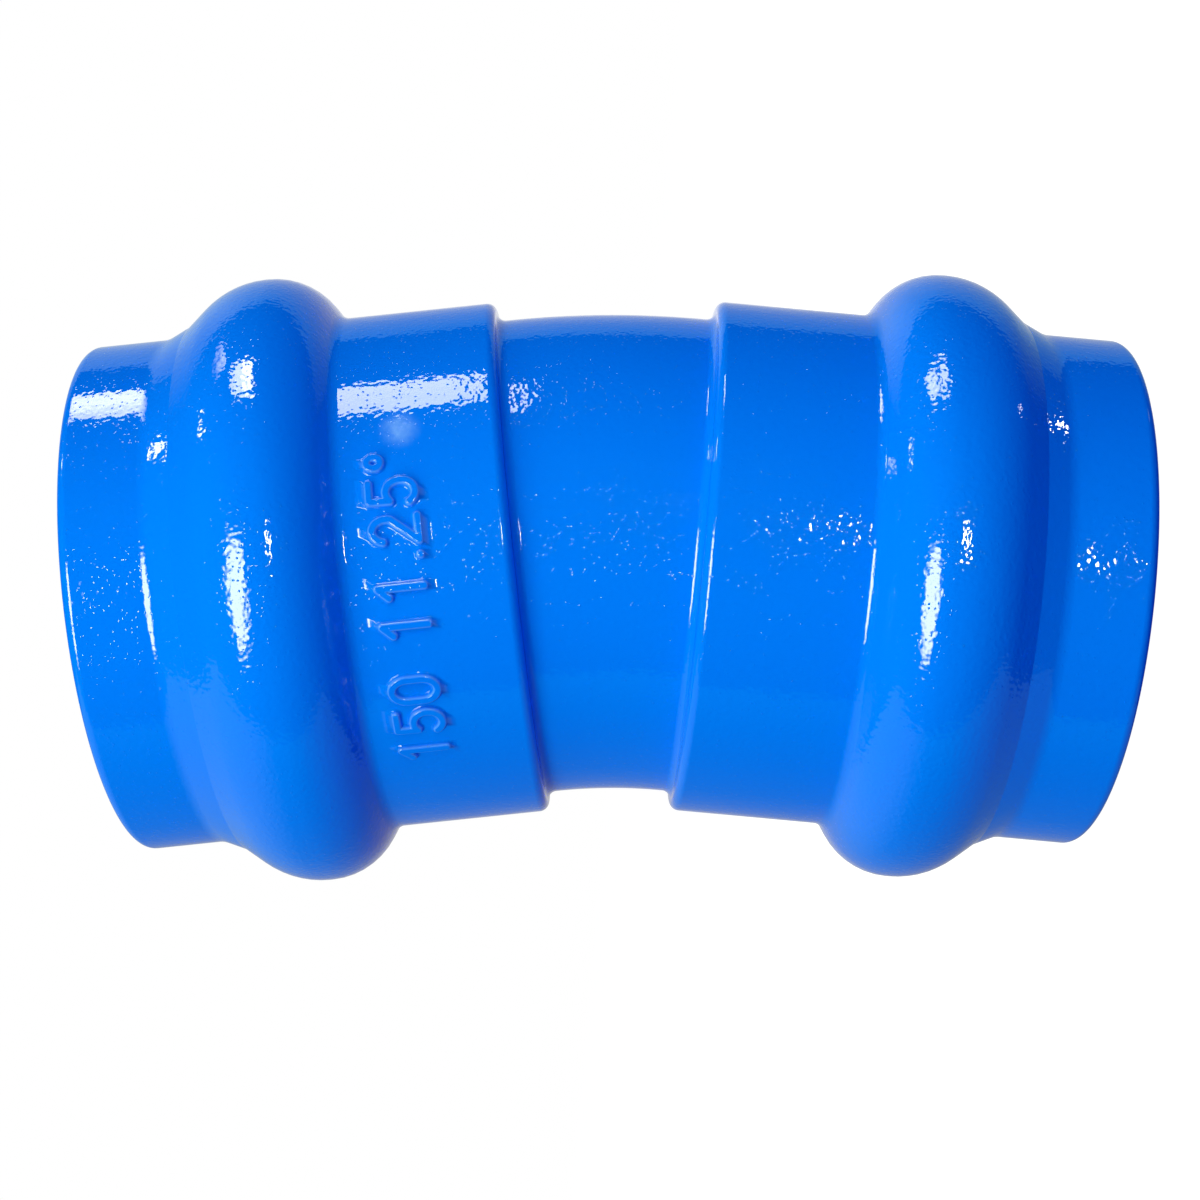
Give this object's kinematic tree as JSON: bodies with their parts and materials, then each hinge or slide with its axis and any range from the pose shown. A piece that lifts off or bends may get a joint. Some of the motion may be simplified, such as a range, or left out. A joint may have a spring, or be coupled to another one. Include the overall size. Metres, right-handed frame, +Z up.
{
  "type": "double socket bend",
  "caption": "Blue coated cast iron pipe bend with a push-fit socket at each end, each with a rubber sealing ring in its bulged groove, to join plastic pressure pipes at a small angle.",
  "frame": {"origin": "centre of the lower socket's mouth, in the plane of its face, which stands on the ground", "axes": "+Z up the lower socket's axis; the upper socket leans towards -X in the XZ plane; +Y completes the frame and the part is symmetric across the XZ plane"},
  "size_m": [0.2327, 0.213, 0.3575],
  "materials": {
    "coated_iron": "fusion bonded epoxy coating, glossy blue",
    "ring_rubber": "moulded rubber, matt black"
  },
  "bodies": {
    "root": {"bend_body": "coated_iron", "lower_sealing_ring": "ring_rubber", "upper_sealing_ring": "ring_rubber"}
  },
  "joints": []
}
